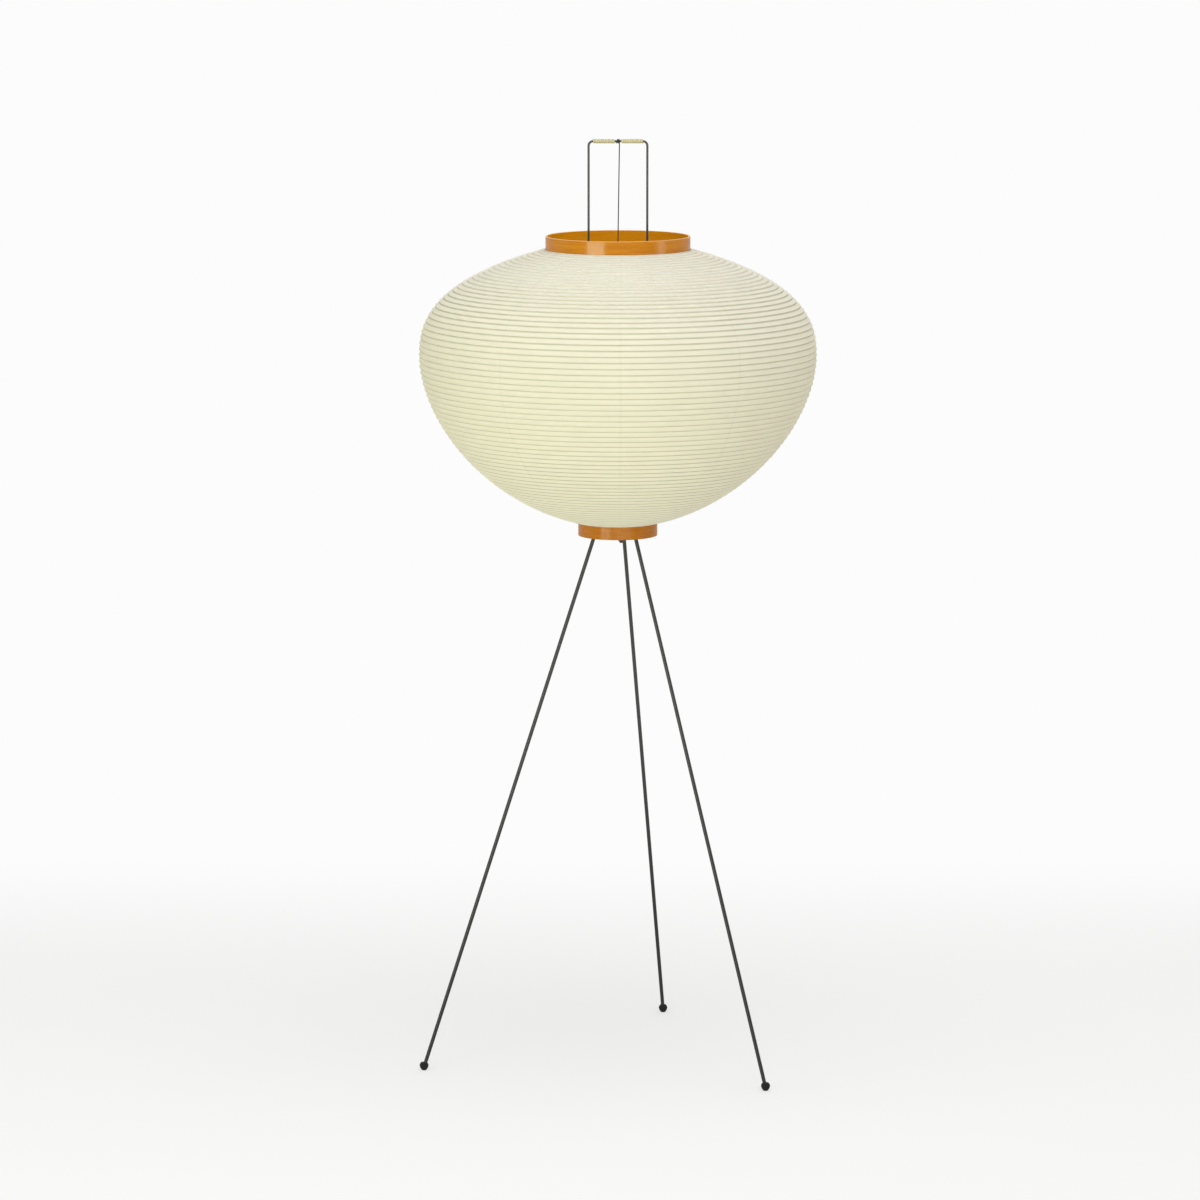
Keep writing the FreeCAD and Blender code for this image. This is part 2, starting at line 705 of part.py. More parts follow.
# ---- all sub-parts ----
for name, azimuth in azimuths.items():
    save("leg_" + name, make_leg(azimuth))
    save("foot_" + name, make_foot(azimuth))
save("hub", make_hub())
save("frame_wire", make_frame_wire())
save("frame_screws", group(make_frame_screw(-1), make_frame_screw(1)))
save("cane_wrap_left", make_cane_wrap(-1))
save("cane_wrap_right", make_cane_wrap(1))
save("lower_ring", make_lower_ring())
save("ring_bridge", make_bridge())
save("ring_screws", group(make_ring_screw(-1), make_ring_screw(1)))
for count, panel in enumerate(make_shade_panels(), 1):
    save("shade_panel_" + str(count), panel)
save("top_ring", make_top_ring())
save("cross_wire", make_cross_wire())
save("hook_wire", make_hook())
save("nipple", make_nipple())
save("nipple_nut", make_nipple_nut())
save("cord_gland", make_cord_gland())
save("holder_cap", make_holder_cap())
save("holder_shell", make_holder_shell())
save("holder_insert", make_holder_insert())
save("screw_shell", make_screw_shell())
save("centre_contact", make_centre_contact())
save("bulb_contact", make_bulb_contact())
save("bulb_insulator", make_bulb_insulator())
save("bulb_cap", make_bulb_cap())
save("bulb_glass", make_bulb_glass())
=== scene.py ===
"""Paper lantern floor lamp: its finishes and soft forms, made around the lamp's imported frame.

The file is laid out as an add-on and run as a script. Lengths are metres in the lamp's own frame:
+Z up, the floor at Z 0, the lantern's axis on Z and its front towards -Y.
"""
import json
import math

import bpy
from bpy.props import FloatProperty, FloatVectorProperty, IntProperty, PointerProperty
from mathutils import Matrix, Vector


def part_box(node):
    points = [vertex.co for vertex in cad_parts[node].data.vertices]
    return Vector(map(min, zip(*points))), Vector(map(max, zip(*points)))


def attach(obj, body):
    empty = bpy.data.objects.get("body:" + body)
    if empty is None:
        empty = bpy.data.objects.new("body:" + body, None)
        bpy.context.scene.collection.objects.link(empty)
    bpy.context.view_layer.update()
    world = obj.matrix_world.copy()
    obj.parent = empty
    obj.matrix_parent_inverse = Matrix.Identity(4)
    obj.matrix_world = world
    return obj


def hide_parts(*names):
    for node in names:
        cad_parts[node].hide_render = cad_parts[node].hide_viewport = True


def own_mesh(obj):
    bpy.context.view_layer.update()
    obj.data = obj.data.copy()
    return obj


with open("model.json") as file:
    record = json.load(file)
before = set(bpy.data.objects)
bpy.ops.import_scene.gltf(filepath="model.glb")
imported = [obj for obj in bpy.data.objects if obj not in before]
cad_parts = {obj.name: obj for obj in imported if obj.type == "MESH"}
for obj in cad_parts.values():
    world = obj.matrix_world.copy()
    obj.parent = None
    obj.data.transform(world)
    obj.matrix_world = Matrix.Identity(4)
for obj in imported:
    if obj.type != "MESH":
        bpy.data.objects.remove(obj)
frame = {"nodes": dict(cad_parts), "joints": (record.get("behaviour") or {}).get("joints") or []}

bl_info = {
    "name": "Paper Lantern Floor Lamp",
    "version": (1, 0, 0),
    "blender": (4, 5, 0),
    "location": "View3D > Sidebar > Lantern",
    "description": "Paper, bentwood, cane, wire and glass of a paper lantern floor lamp",
    "category": "Add Mesh",
}

MM = 0.001
FRONT = -math.pi / 2                # azimuth of the lamp's front
PAPER_PANELS = sorted(name for name in frame["nodes"] if name.startswith("shade_panel_"))
FEET = ("foot_left", "foot_back", "foot_right")
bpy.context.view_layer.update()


# ---- places read from the frame ----
def low(node, axis=2):
    """Lowest coordinate of a node along an axis."""
    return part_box(node)[0][axis]


def high(node, axis=2):
    """Highest coordinate of a node along an axis."""
    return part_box(node)[1][axis]


SHADE_BASE = min(low(name) for name in PAPER_PANELS)
SHADE_TOP = max(high(name) for name in PAPER_PANELS)
SHADE_RADIUS = max(high(name, 0) for name in PAPER_PANELS)
CROSSBAR_HEIGHT = (low("cane_wrap_left") + high("cane_wrap_left")) / 2


# ---- sizes and colours ----
class LanternShade(bpy.types.PropertyGroup):
    """Sizes and colours of the paper lantern."""
    radius: FloatProperty(name="Radius", description="Radius at the widest hoop",
                          default=SHADE_RADIUS, unit="LENGTH")
    base: FloatProperty(name="Base", description="Height of the paper's lower edge",
                        default=SHADE_BASE, unit="LENGTH")
    top: FloatProperty(name="Top", description="Height of the paper's upper edge",
                       default=SHADE_TOP, unit="LENGTH")
    equator: FloatProperty(name="Equator", description="Height of the widest hoop",
                           default=0.948275, unit="LENGTH")
    lower_reach: FloatProperty(name="Lower reach", description="Widest hoop to the lower curve's pole",
                               default=0.2268, unit="LENGTH")
    upper_reach: FloatProperty(name="Upper reach", description="Widest hoop to the upper curve's pole",
                               default=0.1603, unit="LENGTH")
    hoops: IntProperty(name="Hoops", description="Bamboo hoops between the two rings", default=71)
    panels: IntProperty(name="Panels", description="Paper gores glued edge to edge",
                        default=len(PAPER_PANELS))
    panel_steps: IntProperty(name="Steps in a panel", description="Mesh steps across one gore", default=13)
    bay_depth: FloatProperty(name="Bay depth", description="How far the paper draws in between two hoops",
                             default=1.35 * MM, unit="LENGTH")
    paper: FloatProperty(name="Paper", description="Thickness of the paper",
                         default=0.35 * MM, unit="LENGTH")
    hoop_thickness: FloatProperty(name="Hoop thickness", description="Thickness of a bamboo hoop",
                                  default=1.3 * MM, unit="LENGTH")
    paper_colour: FloatVectorProperty(name="Paper colour", description="Colour of the paper near the top",
                                      default=(0.94, 0.935, 0.92), subtype="COLOR")
    # painted yellow of the light that comes through the lower paper
    lower_glow_colour: FloatVectorProperty(name="Aged colour", description="Colour of yellowed paper",
                                     default=(0.90, 0.884, 0.74), subtype="COLOR")
    glow_colour: FloatVectorProperty(name="Glow colour", description="Colour of light through the paper",
                                     default=(0.985, 0.968, 0.85), subtype="COLOR")


class LanternWood(bpy.types.PropertyGroup):
    """Edges and colours of the two bentwood rings."""
    edge: FloatProperty(name="Edge rounding", description="Radius of the rings' eased edges",
                        default=0.7 * MM, unit="LENGTH")
    steps: IntProperty(name="Steps", description="Mesh steps round a ring", default=144)
    amber: FloatVectorProperty(name="Amber", description="Light grain under the lacquer",
                               default=(0.545, 0.212, 0.003), subtype="COLOR")
    brown: FloatVectorProperty(name="Brown", description="Dark grain under the lacquer",
                               default=(0.37, 0.112, 0.003), subtype="COLOR")


class LanternHandle(bpy.types.PropertyGroup):
    """Sizes of the cane winding and of the hook wire."""
    bar_radius: FloatProperty(name="Bar radius", description="Radius of the wire crossbar",
                              default=1.5 * MM, unit="LENGTH")
    strip_width: FloatProperty(name="Strip width", description="Width of the split cane",
                               default=2.75 * MM, unit="LENGTH")
    strip_thickness: FloatProperty(name="Strip thickness", description="Thickness of the split cane",
                                   default=1.35 * MM, unit="LENGTH")
    turns: FloatProperty(name="Turns", description="Turns of cane on each half of the crossbar", default=9.5)
    hook_wire: FloatProperty(name="Hook wire", description="Thickness of the hook's wire",
                             default=1.5 * MM, unit="LENGTH")
    eye_clearance: FloatProperty(name="Eye clearance", description="Room between the hook's eye and the bar",
                                 default=0.1 * MM, unit="LENGTH")
    hook_bend: FloatProperty(name="Hook bend", description="Radius of the bend above the hook's foot",
                             default=2.4 * MM, unit="LENGTH")
    cane_light: FloatVectorProperty(name="Light cane", description="Palest cane",
                                    default=(0.46, 0.41, 0.25), subtype="COLOR")
    cane_dark: FloatVectorProperty(name="Dark cane", description="Darkest cane",
                                   default=(0.42, 0.37, 0.22), subtype="COLOR")


class LanternBulb(bpy.types.PropertyGroup):
    """Sizes of the bulb's globe."""
    neck: FloatProperty(name="Neck", description="Radius of the glass where it leaves the cap",
                        default=13.2 * MM, unit="LENGTH")
    steps: IntProperty(name="Steps", description="Mesh steps round the bulb", default=64)


class LanternStage(bpy.types.PropertyGroup):
    """Camera, floor and lights."""
    camera: FloatVectorProperty(name="Camera", description="Place of the camera",
                                default=(-0.0236, -6.748, 1.657), subtype="TRANSLATION")
    pitch_down: FloatProperty(name="Pitch down", description="How far the camera looks down",
                              default=math.radians(8.71), subtype="ANGLE")
    lens: FloatProperty(name="Lens", description="Focal length in millimetres on a 36 mm sensor",
                        default=153.85)
    floor: FloatVectorProperty(name="Floor", description="Colour of the floor",
                               default=(0.92, 0.92, 0.915), subtype="COLOR")
    backdrop: FloatVectorProperty(name="Backdrop", description="Colour behind the lamp",
                                  default=(0.973, 0.973, 0.973), subtype="COLOR")
    floor_seen: FloatVectorProperty(name="Floor seen", description="Tone that evens out the floor in view",
                                    default=(0.878, 0.878, 0.877), subtype="COLOR")
    room: FloatVectorProperty(name="Room", description="What gloss shows of the room on the camera's side",
                              default=(0.30, 0.30, 0.30), subtype="COLOR")
    ambient: FloatProperty(name="Ambient", description="Strength of the light from all round", default=0.64)
    overhead: FloatProperty(name="Overhead", description="Power of the light above, in watts", default=36.0)
    key: FloatProperty(name="Key", description="Power of the light at the upper front, in watts",
                       default=29.0)
    strip: FloatProperty(name="Strip", description="Power of the strip light that glints on the top ring",
                         default=25.0)
    low_strip: FloatProperty(name="Low strip", description="The same for the lower ring", default=6.0)
    fill: FloatProperty(name="Fill", description="Power of the strip light at the right, in watts",
                        default=5.0)
    low_fill: FloatProperty(name="Low fill", description="Power of the light low in front, in watts",
                            default=10.0)


class LanternSizes(bpy.types.PropertyGroup):
    """Everything that a user of this lamp would change."""
    shade: PointerProperty(type=LanternShade)
    wood: PointerProperty(type=LanternWood)
    handle: PointerProperty(type=LanternHandle)
    bulb: PointerProperty(type=LanternBulb)
    stage: PointerProperty(type=LanternStage)


# ---- shader maths ----
class Signal:
    """An output of a shader node, on which arithmetic adds Math nodes."""

    def __init__(self, finish, socket):
        self.finish = finish
        self.socket = socket

    def __add__(self, other):
        return self.finish.maths("ADD", self, other)

    def __sub__(self, other):
        return self.finish.maths("SUBTRACT", self, other)

    def __rsub__(self, other):
        return self.finish.maths("SUBTRACT", other, self)

    def __mul__(self, other):
        return self.finish.maths("MULTIPLY", self, other)

    def __truediv__(self, other):
        return self.finish.maths("DIVIDE", self, other)

    def __pow__(self, other):
        return self.finish.maths("POWER", self, other)

    __radd__ = __add__
    __rmul__ = __mul__


class Finish:
    """The node tree of a new material, or of another owner such as the world."""

    def __init__(self, name, owner=None):
        self.owner = owner or bpy.data.materials.new(name)
        self.owner.use_nodes = True
        self.tree = self.owner.node_tree
        self.tree.nodes.clear()

    def node(self, kind, settings=None, inputs=None, output=0):
        """Add a node, set it up, feed its sockets with values or links and return one of its outputs."""
        node = self.tree.nodes.new(kind)
        for name, value in (settings or {}).items():
            if name == "stops":
                self.place_stops(node.color_ramp, value)
            else:
                setattr(node, name, value)
        for name, value in (inputs or {}).items():
            if isinstance(value, Signal):
                self.tree.links.new(value.socket, node.inputs[name])
            elif node.inputs[name].type == "RGBA":
                node.inputs[name].default_value = (*value[:3], 1)
            else:
                node.inputs[name].default_value = value
        return Signal(self, node.outputs[output])

    @staticmethod
    def place_stops(ramp, stops):
        while len(ramp.elements) < len(stops):
            ramp.elements.new(1)
        for element, (position, grey) in zip(ramp.elements, stops):
            element.position = position
            element.color = (grey, grey, grey, 1)

    def maths(self, operation, *values):
        """Math node fed with numbers and signals."""
        return self.node("ShaderNodeMath", {"operation": operation}, dict(enumerate(values)))

    def place(self):
        """Object coordinates, which are the lamp's own metres."""
        return self.node("ShaderNodeTexCoord", output="Object")

    def axes(self, place):
        """X, Y and Z of a vector."""
        return [self.node("ShaderNodeSeparateXYZ", None, {0: place}, axis) for axis in "XYZ"]

    def vector(self, x, y, z):
        """Vector of three numbers or signals."""
        return self.node("ShaderNodeCombineXYZ", None, {0: x, 1: y, 2: z})

    def around(self, place):
        """Angle about the lamp's axis from the front, distance from the axis, and height."""
        x, y, z = self.axes(place)
        angle = self.maths("ARCTAN2", x, y * -1)
        return angle, (x * x + y * y) ** 0.5, z

    def scaled(self, place, x, y, z):
        """A vector multiplied along each axis."""
        return self.node("ShaderNodeVectorMath", {"operation": "MULTIPLY"}, {0: place, 1: (x, y, z)})

    def noise(self, place, scale, detail, roughness=0.5, distortion=0.0):
        """Soft noise between 0 and 1."""
        return self.node("ShaderNodeTexNoise", None,
                         {"Vector": place, "Scale": scale, "Detail": detail,
                          "Roughness": roughness, "Distortion": distortion})

    def ramp(self, value, *stops):
        """A value passed through grey stops of (position, grey)."""
        return self.node("ShaderNodeValToRGB", {"stops": stops}, {0: value})

    def step(self, value, start, end):
        """Smooth rise from 0 to 1 as a value goes from start to end."""
        return self.node("ShaderNodeMapRange", {"interpolation_type": "SMOOTHSTEP"},
                         {"Value": value, "From Min": start, "From Max": end})

    def mix(self, factor, first, second):
        """Blend of two colours."""
        return self.node("ShaderNodeMix", {"data_type": "RGBA"}, {0: factor, 6: first, 7: second}, 2)

    def bump(self, height, strength, distance):
        """Normal bumped by a height, whose unit is the distance."""
        return self.node("ShaderNodeBump", None,
                         {"Height": height, "Strength": strength, "Distance": distance})

    def principled(self, **inputs):
        """Principled shader, with each socket named in words joined by underscores."""
        named = {name.replace("_", " "): value for name, value in inputs.items()}
        return self.node("ShaderNodeBsdfPrincipled", None, named)

    def ray(self, *kinds):
        """1 for rays of the kinds named, such as Is Camera Ray."""
        found = self.node("ShaderNodeLightPath", output=kinds[0])
        for kind in kinds[1:]:
            found = self.maths("MAXIMUM", found, self.node("ShaderNodeLightPath", output=kind))
        return found

    def blend(self, factor, first, second):
        """Blend of two shaders."""
        return self.node("ShaderNodeMixShader", None, {0: factor, 1: first, 2: second})

    def output(self, shader, kind="ShaderNodeOutputMaterial"):
        """Feed a shader to the output and return the material or world."""
        node = self.tree.nodes.new(kind)
        self.tree.links.new(shader.socket, node.inputs["Surface"])
        return self.owner


# ---- measures that stay fixed ----
LOWER_POWERS = (1.758, 1.882)       # of height and of radius, in the shade's lower curve
UPPER_POWERS = (2.64, 1.317)        # the same in its upper curve
CURVE_STEPS = 1500                  # points at which the curve's length is summed
BAY_SHAPE = ((0.0, 0.0), (0.12, 0.38), (0.36, 0.76), (0.64, 0.98), (0.87, 0.96))    # share of bay, of depth
TIGHT = 0.25                        # share of the depth that is left in the bays next to the lower ring
LOOSE_FROM = 32                     # bays from the lower ring to where the paper has its whole depth
UNDERSIDE = (LOOSE_FROM + 4, 4)     # bays between which the shade turns to its underside
FAINT_LINES = (52, 64)              # bays between which the painted shadow lines under the hoops grow faint
LOWER_GLOW_BAYS = (66, 26)                # bays between which the white paper turns to the painted yellow of light coming through it
LAP_FADE = (4.6 * MM, 3.2 * MM)     # from a seam, between which its lap of double paper has ended and is full
LAP_EDGE_RISE = (2.0 * MM, 3.4 * MM)    # from a seam, between which the lap darkens to its far edge

RINGS = (                           # piece, node, wall, share of painted shade where the lantern shadows it, body
    ("top_bentwood_ring", "top_ring", 2.5 * MM, 0.0, "shade_top"),
    ("lower_bentwood_ring", "lower_ring", 3.0 * MM, 0.35, "stand"),
)
EDGE_STEPS = 3                      # mesh steps round an eased edge of a ring
EDGE_BACKING = 0.35                 # from an eased edge to the points that keep a wall flat, per radius
JOINT_SLANT = 0.8                   # sideways run of the scarf joint for its rise
JOINT_LINE = (0.5 * MM, 0.15 * MM)  # from the joint's middle, between which its dark line begins
WALL_FADE = 0.3 * MM                # to each side of a wall's middle, where outside turns to inside
RIM_HIGHLIGHT_BAND = (0.8 * MM, 0.1 * MM)     # below the top of a ring, between which a highlight is painted on its lacquer

TURN_STEPS = 20                     # mesh steps in one turn of cane or of wire
CANE_GAP = 0.04 * MM                # between the crossbar and the cane
CANE_CROWN = ((1.0, 0.16), (0.8, 0.04), (0.35, 0.0))    # share of half the width, of thickness off the crown
HOOK_TURNS = 2                      # of wire round the crossbar
STEM_STEPS = 8                      # mesh steps down the hook's stem
BEND_STEPS = 8                      # mesh steps round the bend above its foot
FOOT_TUCK = 0.1 * MM                # by which the hook's foot ends behind its CAD solid's front

# half of a rubber foot's outline: radius per widest radius, height per whole height
FOOT_PROFILE = ((0, 0), (0.45, 0), (0.52, 0.03), (0.80, 0.24), (0.96, 0.44), (1.0, 0.60),
                (0.97, 0.74), (0.86, 0.87), (0.74, 0.93), (0.68, 1.0), (0.56, 1.0), (0, 0.97))
FOOT_STEPS = 32                     # mesh steps round a rubber foot

NECK_LENGTH = 5 * MM                # of straight glass above the bulb's cap
NECK_FLARE = 1.12                   # radius at which the globe begins, in radii of the neck
GLOBE_STEPS = 28                    # mesh steps from the neck to the globe's top

SENSOR_WIDTH = 36.0                 # of the camera, in millimetres
CAMERA_REACH = 100.0                # how far the camera sees, in metres
FLOOR_SIZE = 40                     # metres along each side

# ---- colours that stay fixed ----
PALE_FIBRE = (0.95, 0.94, 0.87)
LONG_FIBRE = (0.82, 0.78, 0.62)
GLUED_LAP = (0.78, 0.77, 0.64)
LAP_EDGE = (0.62, 0.58, 0.42)
# colour of the painted shadow under each hoop
RIB_SHADOW_TONE = (0.44, 0.42, 0.29)
PORE = (0.22, 0.06, 0.004)
SHADOWED_RING_TONE = (0.25, 0.06, 0.003)
RIM_HIGHLIGHT_TONE = (0.86, 0.56, 0.26)
GLUE_LINE = (0.10, 0.03, 0.008)
CANE_FIBRE = (0.58, 0.52, 0.34)
DARK_BAMBOO, PALE_BAMBOO = (0.52, 0.40, 0.20), (0.70, 0.58, 0.34)
DARK_ENAMEL, PALE_ENAMEL = (0.024, 0.024, 0.022), (0.036, 0.036, 0.033)
SHADED_LOW_ENAMEL, LIT_HIGH_ENAMEL = (0.007, 0.007, 0.006), (0.052, 0.052, 0.047)
DARK_OPAL, PALE_OPAL = (0.84, 0.84, 0.81), (0.92, 0.92, 0.90)
DARK_RUBBER, PALE_RUBBER = (0.005, 0.005, 0.004), (0.010, 0.010, 0.009)
DARK_WIRE = (0.075, 0.070, 0.065)
WHITE_LIGHT = (1.0, 1.0, 1.0)
GLINT_LIGHT = (0.93, 1.0, 0.74)     # of the strip lights, which yellows their glints on the lacquer
ROOM_LIGHT = (1.0, 0.995, 0.985)    # of the light from all round


def toned(colour, share, lift=0.0):
    """A colour made darker or lighter."""
    return tuple(min(1, part * share + lift) for part in colour)


# ---- finishes ----
def rice_paper(sizes):
    """Washi: pale fibres, faint clouding, glued seams between gores, painted shadow lines under the hoops
    that also stand for the bamboo seen through the paper, and a painted yellow glow of light through the
    lower paper.
    """
    finish = Finish("rice_paper")
    place = finish.place()
    angle, distance, height = finish.around(place)
    sheet = finish.vector(angle * 0.2, distance, height)
    fibres = finish.noise(finish.scaled(sheet, 1, 1, 5), 160, 6, 0.7, 1.6)
    strands = finish.ramp(fibres, (0.42, 0), (0.5, 1), (0.53, 1), (0.61, 0))
    long_fibres = finish.noise(finish.scaled(sheet, 4, 1, 0.8), 55, 4, 0.65, 2.2)
    long_strands = finish.ramp(long_fibres, (0.46, 0), (0.5, 1), (0.51, 1), (0.55, 0))
    clouds = finish.noise(sheet, 22, 3, 0.55)
    gore = 2 * math.pi / sizes.panels
    gores_round = angle / gore + sizes.panels * 2
    across = finish.maths("FRACT", gores_round) * distance * gore
    lap = finish.step(across, *LAP_FADE)
    edge = lap * finish.step(across, *LAP_EDGE_RISE)
    count = finish.node("ShaderNodeAttribute", {"attribute_name": "bay_count"}, output="Fac")
    rise = finish.maths("FRACT", count)
    under = finish.step(count, *UNDERSIDE)
    # painted shadow under each hoop's ridge, stronger on the underside and fainter near the top; it also
    # stands for the hoop seen dark through the paper
    painted_rib_shadow = finish.step(rise, 0.62 - under * 0.14, 0.90 - under * 0.16) * finish.step(rise, 1.0, 0.965)
    painted_rib_shadow = painted_rib_shadow * (0.8 + clouds * 0.4) * (1 + under * 0.9 - finish.step(count, *FAINT_LINES) * 0.5)
    # painted light: the paper is tinted yellower towards the bottom for the warm light coming through it
    painted_lower_glow = finish.step(count, *LOWER_GLOW_BAYS) * 0.9 + clouds * 0.1
    colour = finish.mix(painted_lower_glow, sizes.paper_colour, sizes.lower_glow_colour)
    colour = finish.mix(strands * 0.22, colour, PALE_FIBRE)
    colour = finish.mix(long_strands * 0.16, colour, LONG_FIBRE)
    colour = finish.mix(lap * 0.22, colour, GLUED_LAP)
    colour = finish.mix(edge * 0.15, colour, LAP_EDGE)
    # paints the shadow lines under the hoops
    colour = finish.mix(painted_rib_shadow * 0.9, colour, RIB_SHADOW_TONE)
    relief = strands * 0.35 + long_strands * 0.3 + clouds * 0.5 + lap * 0.8
    normal = finish.bump(relief, 0.25, 0.0003)
    surface = finish.principled(Base_Color=colour, Roughness=0.72 + clouds * 0.15, Normal=normal,
                                Specular_IOR_Level=0.3, Sheen_Weight=0.08)
    through = finish.node("ShaderNodeBsdfTranslucent", None, {"Color": sizes.glow_colour})
    # less light passes through the paper at the painted shadow lines and at the glued laps
    return finish.output(finish.blend(0.55 - painted_rib_shadow * 0.48 - lap * 0.1, surface, through))


def lacquered_wood(name, sizes, middle, wall_middle, top, depth):
    """Bent ash under amber lacquer: fine level grain, a scarf joint at the back, a satin coat, with a painted
    highlight along the top rim, an inner face painted paler for the light on it, and painted shade on a ring
    that the lantern shadows.
    """
    finish = Finish(name)
    place = finish.place()
    angle, distance, height = finish.around(place)
    strip = finish.vector(angle * wall_middle, distance, height)
    grain = finish.noise(finish.scaled(strip, 1, 12, 26), 24, 6, 0.62, 0.6)
    pores = finish.noise(finish.scaled(strip, 1.6, 30, 90), 42, 3, 0.6)
    figure = finish.noise(finish.scaled(strip, 1, 3, 6), 9, 2, 0.5)
    streaks = finish.ramp(grain, (0.36, 0), (0.5, 0.5), (0.66, 1))
    pore_lines = finish.ramp(pores, (0.30, 1), (0.40, 0))
    colour = finish.mix(streaks * 0.6 + figure * 0.25, sizes.amber, sizes.brown)
    colour = finish.mix(pore_lines * 0.5, colour, PORE)
    # painted shade: a ring that the lantern above shadows is darkened by its share
    colour = finish.mix(depth, colour, SHADOWED_RING_TONE)
    inside = finish.step(distance, wall_middle + WALL_FADE, wall_middle - WALL_FADE)
    # painted light: the inner face is made paler to stand for the light that falls on it
    colour = finish.mix(inside * 0.5, colour, toned(sizes.amber, 1.6))
    # painted highlight along the ring's top edge
    rim_highlight = finish.step(height, top - RIM_HIGHLIGHT_BAND[0], top - RIM_HIGHLIGHT_BAND[1])
    colour = finish.mix(rim_highlight * (0.45 + streaks * 0.2), colour, RIM_HIGHLIGHT_TONE)
    x, y, _ = finish.axes(place)
    from_joint = finish.maths("ARCTAN2", x, y) * wall_middle + (height - middle) * JOINT_SLANT
    joint = finish.step(finish.maths("ABSOLUTE", from_joint), *JOINT_LINE) * (1 - inside)
    colour = finish.mix(joint * 0.8, colour, GLUE_LINE)
    relief = streaks * 0.2 + pore_lines * -0.35 - joint * 1.5
    return finish.output(finish.principled(
        Base_Color=colour, Roughness=0.42 + streaks * 0.12, Specular_IOR_Level=0.0, Coat_Weight=0.5,
        Coat_Roughness=0.18, Normal=finish.bump(relief, 0.22, 0.0002)))


def wound_cane(sizes):
    """Split cane: lengthwise fibres, pale and dark strips, a satin rind."""
    finish = Finish("wound_cane")
    x, y, z = finish.axes(finish.place())
    angle = finish.maths("ARCTAN2", y, z - CROSSBAR_HEIGHT)
    along = finish.vector(x, angle * 0.0006, 0.0)
    fibres = finish.noise(along, 2600, 2, 0.5)
    strips = finish.noise(along, 260, 1, 0.5)
    colour = finish.mix(finish.step(strips, 0.2, 0.8), sizes.cane_dark, sizes.cane_light)
    colour = finish.mix(fibres * 0.2, colour, CANE_FIBRE)
    return finish.output(finish.principled(
        Base_Color=colour, Roughness=0.50 + fibres * 0.15, Coat_Weight=0.08, Coat_Roughness=0.3,
        Normal=finish.bump(fibres, 0.35, 0.00015)))


def bamboo_finish():
    """Pale split bamboo of the hoops inside the paper."""
    finish = Finish("bamboo")
    angle, distance, height = finish.around(finish.place())
    grain = finish.noise(finish.vector(angle * 0.3, distance * 20, height * 20), 60, 3)
    colour = finish.mix(grain, DARK_BAMBOO, PALE_BAMBOO)
    return finish.output(finish.principled(Base_Color=colour, Roughness=0.5 + grain * 0.2))


def painted_steel():
    """Satin black enamel on steel: fine orange peel, painted shade towards the feet and painted light towards
    the handle.
    """
    finish = Finish("painted_steel")
    place = finish.place()
    height = finish.axes(place)[2]
    peel = finish.noise(place, 900, 2)
    rub = finish.noise(place, 18, 4, 0.6)
    colour = finish.mix(rub, DARK_ENAMEL, PALE_ENAMEL)
    # painted shade: the steel is darkened towards the floor
    colour = finish.mix(finish.step(height, 0.55, 0.05), colour, SHADED_LOW_ENAMEL)
    # painted light: the steel is lightened towards the handle
    colour = finish.mix(finish.step(height, 0.8, 1.0), colour, LIT_HIGH_ENAMEL)
    return finish.output(finish.principled(
        Base_Color=colour, Roughness=0.36 + rub * 0.08, Specular_IOR_Level=0.45,
        Normal=finish.bump(peel, 0.06, 0.00005)))


def bare_metal(name, colour, roughness, scratch):
    """Plain metal with fine drawing lines and a little tarnish."""
    finish = Finish(name)
    place = finish.place()
    tarnish = finish.noise(place, 120, 5, 0.65)
    lines = finish.noise(finish.scaled(place, 1, 1, 14), 700, 3)
    dull = toned(colour, 0.62)
    return finish.output(finish.principled(
        Base_Color=finish.mix(finish.ramp(tarnish, (0.35, 0), (0.75, 1)) * 0.7, colour, dull),
        Metallic=1.0 - tarnish * 0.05, Roughness=roughness + lines * scratch,
        Normal=finish.bump(lines, 0.12, 0.00008)))


def smooth_solid(name, first, second, roughness, coat, scale, relief, shine=0.5):
    """Moulded plastic, rubber or glazed ceramic: clouded colour, a fine skin and small specks."""
    finish = Finish(name)
    place = finish.place()
    clouds = finish.noise(place, scale, 4, 0.6)
    skin = finish.noise(place, scale * 9, 2)
    specks = finish.ramp(finish.noise(place, scale * 5, 4, 0.75), (0.66, 0), (0.74, 1))
    colour = finish.mix(clouds, first, second)
    colour = finish.mix(specks * 0.3, colour, toned(second, 1.6, 0.01))
    return finish.output(finish.principled(
        Base_Color=colour, Roughness=roughness + clouds * 0.12, Coat_Weight=coat, Coat_Roughness=0.12,
        Specular_IOR_Level=shine, Normal=finish.bump(skin, relief, 0.0001)))


def opal_glass():
    """Milky bulb glass, very slightly uneven."""
    finish = Finish("opal_glass")
    waves = finish.noise(finish.place(), 60, 3)
    colour = finish.mix(waves, DARK_OPAL, PALE_OPAL)
    return finish.output(finish.principled(
        Base_Color=colour, Roughness=0.16 + waves * 0.06, Coat_Weight=0.6, Coat_Roughness=0.05,
        Normal=finish.bump(waves, 0.04, 0.0004)))


# ---- modelling by hand ----
def deselect():
    """Leave nothing selected and no piece in edit mode."""
    if bpy.context.object and bpy.context.object.mode != "OBJECT":
        bpy.ops.object.mode_set(mode="OBJECT")
    bpy.ops.object.select_all(action="DESELECT")


def pick(piece):
    """Select one piece alone and make it active."""
    deselect()
    piece.select_set(True)
    bpy.context.view_layer.objects.active = piece


